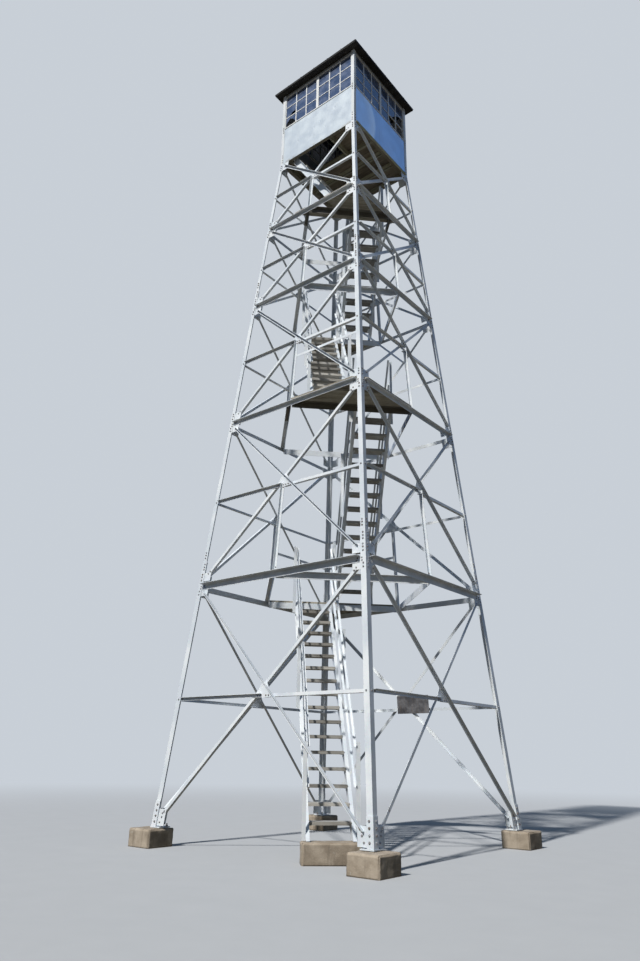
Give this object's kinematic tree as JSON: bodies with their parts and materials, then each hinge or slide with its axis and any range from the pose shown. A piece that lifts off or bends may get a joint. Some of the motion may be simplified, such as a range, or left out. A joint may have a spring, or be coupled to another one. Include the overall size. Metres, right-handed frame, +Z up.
{
  "type": "fire lookout tower",
  "caption": "Steel lattice lookout tower with battered angle-iron legs, braced panels, zigzag stairs between corner landings and a square glazed cab under a low hipped roof",
  "frame": {"origin": "centre of the underside of the four footings", "axes": "+Z up along the tower's axis, +X and -Y outward from the two sides that meet at the front corner, +X to the right of the front side"},
  "size_m": [4.968, 4.968, 17.1619],
  "materials": {
    "galvanised": "satin",
    "concrete": "matte",
    "weathered_sheet": "matte",
    "deck_timber": "matte",
    "tread_timber": "matte",
    "cab_timber": "matte",
    "cab_sheet": "satin",
    "window_paint": "satin",
    "window_glass": "gloss",
    "roof_sheet": "matte"
  },
  "bodies": {
    "root": {"footings": "concrete", "base_shoes": "galvanised", "leg_front": "galvanised", "leg_right": "galvanised", "leg_back": "galvanised", "leg_left": "galvanised", "front_braces": "galvanised", "right_braces": "galvanised", "back_braces": "galvanised", "left_braces": "galvanised", "gusset_plates": "galvanised", "girts_level_1": "galvanised", "girts_level_2": "galvanised", "girts_level_3": "galvanised", "girts_level_4": "galvanised", "girts_level_5": "galvanised", "plan_ties": "galvanised", "blank_board": "weathered_sheet", "landing_1": "deck_timber", "landing_2": "deck_timber", "landing_3": "deck_timber", "landing_4": "deck_timber", "stringers": "galvanised", "handrails": "galvanised", "rail_posts": "galvanised", "landing_rails": "galvanised", "treads_flight_1": "tread_timber", "treads_flight_2": "tread_timber", "treads_flight_3": "tread_timber", "treads_flight_4": "tread_timber", "treads_flight_5": "tread_timber", "floor_frame": "cab_timber", "floor_deck": "cab_timber", "front_wall": "cab_sheet", "right_wall": "cab_sheet", "back_wall": "cab_sheet", "left_wall": "cab_sheet", "corner_posts": "cab_sheet", "window_frames": "window_paint", "window_glass": "window_glass", "roof_frame": "cab_timber", "roof": "roof_sheet"}
  },
  "joints": []
}
